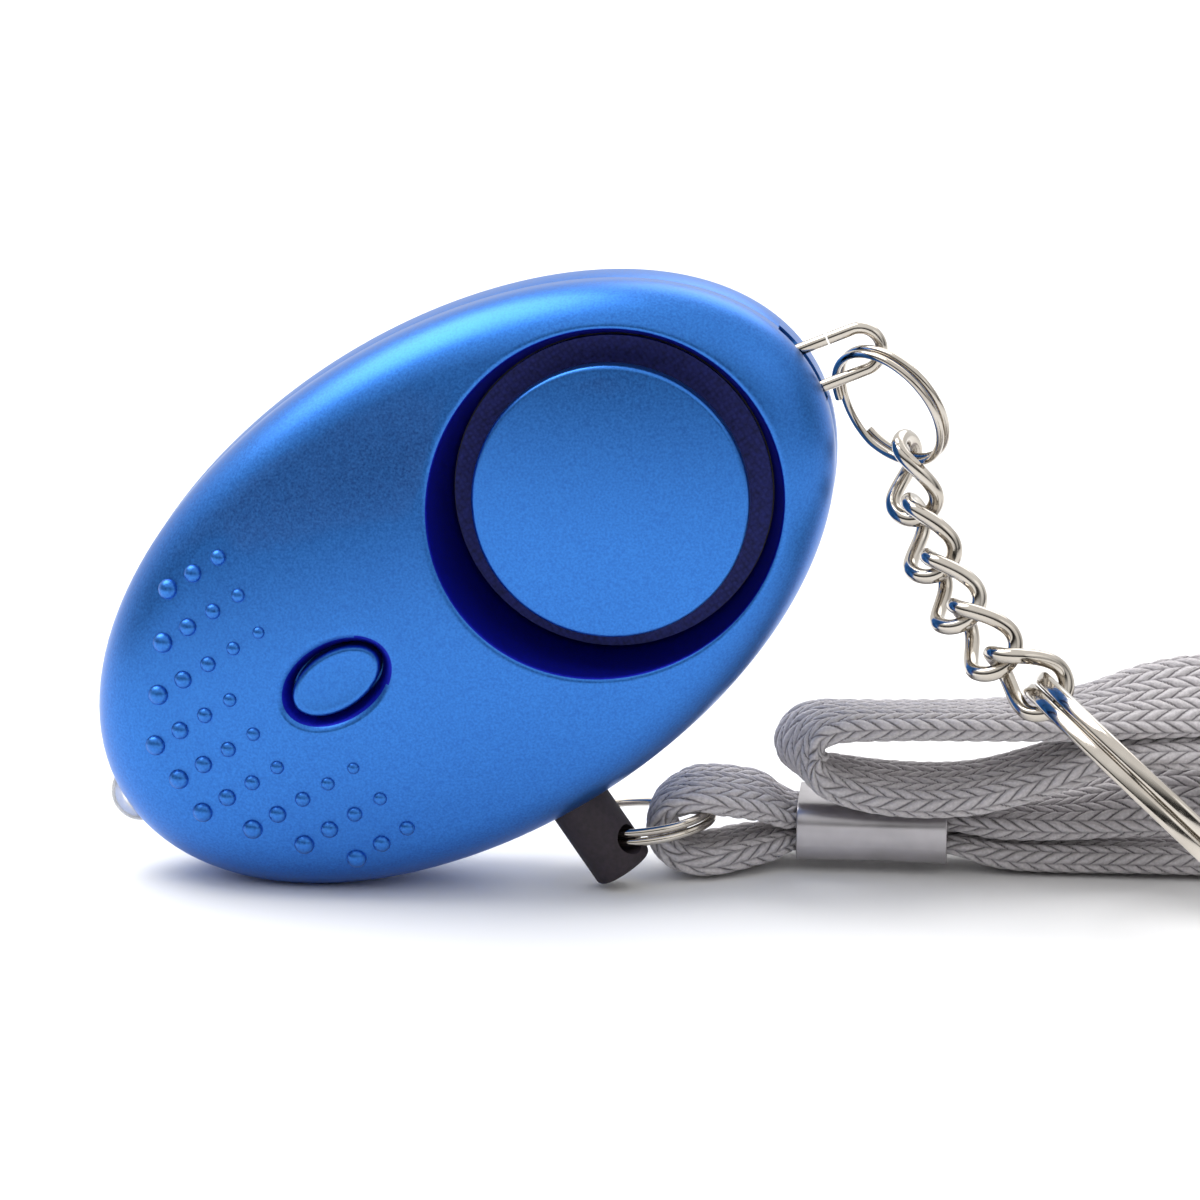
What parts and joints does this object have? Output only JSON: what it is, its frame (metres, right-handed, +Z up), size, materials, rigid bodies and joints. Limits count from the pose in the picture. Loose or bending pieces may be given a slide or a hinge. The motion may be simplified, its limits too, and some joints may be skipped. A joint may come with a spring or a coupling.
{
  "type": "personal safety alarm",
  "caption": "Oval pocket alarm with a pull pin on a wrist strap, a torch button with LED, and a split key ring on a short twisted chain.",
  "frame": {"origin": "on the floor, under the middle of the box round the stiff pieces", "axes": "+Z up, front face towards -Y, +X to the right, towards the bail and the chain"},
  "size_m": [0.1283, 0.0398, 0.0508],
  "materials": {
    "case_blue": "satin metallic paint",
    "mesh_black": "woven mesh",
    "inner_black": "moulded",
    "brass": "rolled sheet",
    "board_green": "solder mask",
    "ferrite": "pressed",
    "chip_black": "moulded",
    "switch_steel": "pressed sheet",
    "led_clear": "clear epoxy",
    "cell_steel": "drawn can",
    "screw_steel": "zinc plated",
    "pin_rubber": "matte",
    "nickel": "bright nickel plate",
    "strap_grey": "flat braid",
    "crimp_alu": "bright drawn"
  },
  "bodies": {
    "case": {"front_shell": "case_blue", "rear_shell": "case_blue", "speaker_cap": "case_blue", "sound_mesh": "mesh_black", "sound_chamber": "inner_black", "piezo_disc": "brass", "circuit_board": "board_green", "boost_coil": "ferrite", "driver_chip": "chip_black", "power_transistor": "chip_black", "tact_switch": "switch_steel", "led_lamp": "led_clear", "battery_tray": "inner_black", "button_cells": "cell_steel", "lower_contacts": "brass", "upper_contacts": "brass", "pin_contacts": "brass", "case_screws": "screw_steel"},
    "torch_button": {"torch_button": "case_blue", "switch_plunger": "inner_black"},
    "pull_pin": {"pull_pin": "pin_rubber", "pin_shank": "nickel", "ring_loop": "strap_grey", "wrist_loop": "strap_grey", "strap_crimp": "crimp_alu"},
    "pin_ring": {"pin_ring": "nickel"},
    "bail": {"bail": "nickel"},
    "bail_ring": {"bail_ring": "nickel"},
    "chain_link_1": {"chain_link_1": "nickel"},
    "chain_link_2": {"chain_link_2": "nickel"},
    "chain_link_3": {"chain_link_3": "nickel"},
    "chain_link_4": {"chain_link_4": "nickel"},
    "chain_link_5": {"chain_link_5": "nickel"},
    "key_ring": {"key_ring": "nickel"}
  },
  "joints": [
    {"name": "button_press", "type": "slide", "parent": "case", "child": "torch_button", "axis": [0, 1, 0], "range_m": [0, 0.00035], "stiffness_N_per_m": 3000, "springref_m": -0.0002},
    {"name": "pin_pull", "type": "slide", "parent": "case", "child": "pull_pin", "axis": [0.5664, 0, -0.8241], "range_m": [0, 0.014]},
    {"name": "pin_ring_spin", "type": "hinge", "parent": "pull_pin", "child": "pin_ring", "pos_m": [-0.00401, 0.01239, 0.00458], "axis": [-0.1392, 0, 0.9903], "continuous": true},
    {"name": "bail_swing", "type": "hinge", "parent": "case", "child": "bail", "pos_m": [0.00617, 0.00809, 0.04251], "axis": [0, -1, 0], "range_deg": [-4, 24]},
    {"name": "bail_ring_swing", "type": "hinge", "parent": "bail", "child": "bail_ring", "pos_m": [0.01467, 0.00809, 0.04496], "axis": [0.2164, 0, 0.9763], "range_deg": [-24, 0]},
    {"name": "link_1_swing", "type": "hinge", "parent": "bail_ring", "child": "chain_link_1", "pos_m": [0.01706, 0.01002, 0.03606], "axis": [-0.7547, 0.6561, 0], "range_deg": [0, 20]},
    {"name": "link_2_swing", "type": "hinge", "parent": "chain_link_1", "child": "chain_link_2", "pos_m": [0.0174, 0.00894, 0.03282], "axis": [0.3582, 0.8112, -0.4623], "range_deg": [-20, 10]},
    {"name": "link_3_swing", "type": "hinge", "parent": "chain_link_2", "child": "chain_link_3", "pos_m": [0.01903, 0.00607, 0.02885], "axis": [0.3933, 0.7431, -0.5413], "range_deg": [-20, 12]},
    {"name": "link_4_swing", "type": "hinge", "parent": "chain_link_3", "child": "chain_link_4", "pos_m": [0.02116, 0.00256, 0.02572], "axis": [0.3049, 0.7967, -0.5218], "range_deg": [-8, 20]},
    {"name": "link_5_swing", "type": "hinge", "parent": "chain_link_4", "child": "chain_link_5", "pos_m": [0.02402, -0.00072, 0.02282], "axis": [0.0533, 0.9033, -0.4257], "range_deg": [-6, 20]},
    {"name": "key_ring_swing", "type": "hinge", "parent": "chain_link_5", "child": "key_ring", "pos_m": [0.02789, -0.002, 0.02058], "axis": [0, 0.9682, -0.2501], "range_deg": [-18, 18]}
  ]
}
